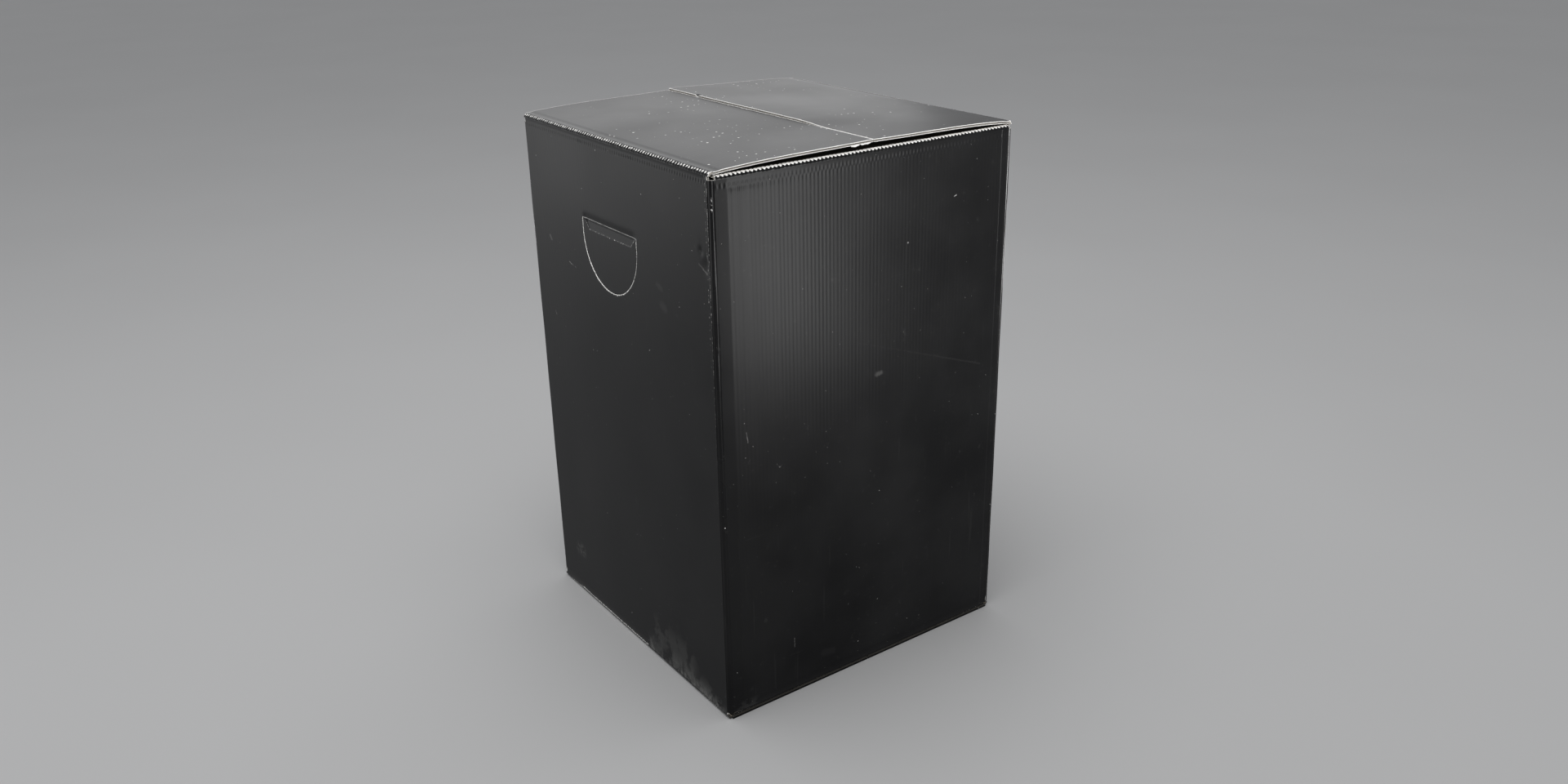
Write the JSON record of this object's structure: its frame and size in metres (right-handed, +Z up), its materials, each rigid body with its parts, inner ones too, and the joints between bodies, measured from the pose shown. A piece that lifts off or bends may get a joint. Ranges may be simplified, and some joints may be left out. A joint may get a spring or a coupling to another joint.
{
  "type": "corrugated carton",
  "caption": "Tall shipping carton in thin fluted board with a glossy black outside, a glued bottom, folding top flaps and a push-in hand hole in each side wall.",
  "frame": {"origin": "middle of the base, on the ground", "axes": "+Z up, +X along the front wall to the right, front wall facing -Y, left wall with its hand hole facing -X"},
  "size_m": [0.272, 0.276, 0.4276],
  "materials": {
    "black_coated_paper": "black print under a gloss coating, scuffed and dusty",
    "fluting_paper": "unbleached corrugating medium, matte",
    "inner_paper": "unbleached kraft liner, matte",
    "adhesive": "dried adhesive, slightly translucent"
  },
  "bodies": {
    "root": {"back_inner_bottom_flap_fluting": "fluting_paper", "back_inner_bottom_flap_inner_liner": "inner_paper", "back_inner_bottom_flap_outer_liner": "black_coated_paper", "back_left_corner_crease": "black_coated_paper", "back_top_crease": "black_coated_paper", "back_wall_fluting": "fluting_paper", "back_wall_inner_liner": "inner_paper", "back_wall_outer_liner": "black_coated_paper", "bottom_flap_glue": "adhesive", "end_bottom_creases": "black_coated_paper", "front_inner_bottom_flap_fluting": "fluting_paper", "front_inner_bottom_flap_inner_liner": "inner_paper", "front_inner_bottom_flap_outer_liner": "black_coated_paper", "front_left_corner_crease": "black_coated_paper", "front_right_corner_crease": "black_coated_paper", "front_top_crease": "black_coated_paper", "front_wall_fluting": "fluting_paper", "front_wall_inner_liner": "inner_paper", "front_wall_outer_liner": "black_coated_paper", "glue_tab_adhesive": "adhesive", "glue_tab_crease": "black_coated_paper", "glue_tab_fluting": "fluting_paper", "glue_tab_inner_liner": "inner_paper", "glue_tab_outer_liner": "black_coated_paper", "hand_flap_creases": "black_coated_paper", "left_bottom_flap_fluting": "fluting_paper", "left_bottom_flap_inner_liner": "inner_paper", "left_bottom_flap_outer_liner": "black_coated_paper", "left_top_crease": "black_coated_paper", "left_wall_fluting": "fluting_paper", "left_wall_inner_liner": "inner_paper", "left_wall_outer_liner": "black_coated_paper", "right_bottom_flap_fluting": "fluting_paper", "right_bottom_flap_inner_liner": "inner_paper", "right_bottom_flap_outer_liner": "black_coated_paper", "right_top_crease": "black_coated_paper", "right_wall_fluting": "fluting_paper", "right_wall_inner_liner": "inner_paper", "right_wall_outer_liner": "black_coated_paper", "side_bottom_creases": "black_coated_paper"},
    "back_inner_top_flap": {"back_inner_top_flap_fluting": "fluting_paper", "back_inner_top_flap_inner_liner": "inner_paper", "back_inner_top_flap_outer_liner": "black_coated_paper"},
    "front_inner_top_flap": {"front_inner_top_flap_fluting": "fluting_paper", "front_inner_top_flap_inner_liner": "inner_paper", "front_inner_top_flap_outer_liner": "black_coated_paper"},
    "left_hand_flap": {"left_hand_flap_fluting": "fluting_paper", "left_hand_flap_inner_liner": "inner_paper", "left_hand_flap_outer_liner": "black_coated_paper"},
    "left_top_flap": {"left_top_flap_fluting": "fluting_paper", "left_top_flap_inner_liner": "inner_paper", "left_top_flap_outer_liner": "black_coated_paper"},
    "right_hand_flap": {"right_hand_flap_fluting": "fluting_paper", "right_hand_flap_inner_liner": "inner_paper", "right_hand_flap_outer_liner": "black_coated_paper"},
    "right_top_flap": {"right_top_flap_fluting": "fluting_paper", "right_top_flap_inner_liner": "inner_paper", "right_top_flap_outer_liner": "black_coated_paper"}
  },
  "joints": [
    {"name": "left_top_flap_hinge", "type": "hinge", "parent": "root", "child": "left_top_flap", "pos_m": [-0.136, 0, 0.424], "axis": [0, -1, 0], "range_deg": [-1.5, 258]},
    {"name": "right_top_flap_hinge", "type": "hinge", "parent": "root", "child": "right_top_flap", "pos_m": [0.136, 0, 0.424], "axis": [0, 1, 0], "range_deg": [-1.5, 258]},
    {"name": "front_inner_flap_hinge", "type": "hinge", "parent": "root", "child": "front_inner_top_flap", "pos_m": [0, -0.13605, 0.41935], "axis": [-1, 0, 0], "range_deg": [0, 80]},
    {"name": "back_inner_flap_hinge", "type": "hinge", "parent": "root", "child": "back_inner_top_flap", "pos_m": [0, 0.13605, 0.41935], "axis": [1, 0, 0], "range_deg": [0, 80]},
    {"name": "left_hand_flap_hinge", "type": "hinge", "parent": "root", "child": "left_hand_flap", "pos_m": [-0.13405, 0, 0.358], "axis": [0, -1, 0], "range_deg": [0, 100]},
    {"name": "right_hand_flap_hinge", "type": "hinge", "parent": "root", "child": "right_hand_flap", "pos_m": [0.13405, 0, 0.358], "axis": [0, 1, 0], "range_deg": [0, 100]}
  ]
}
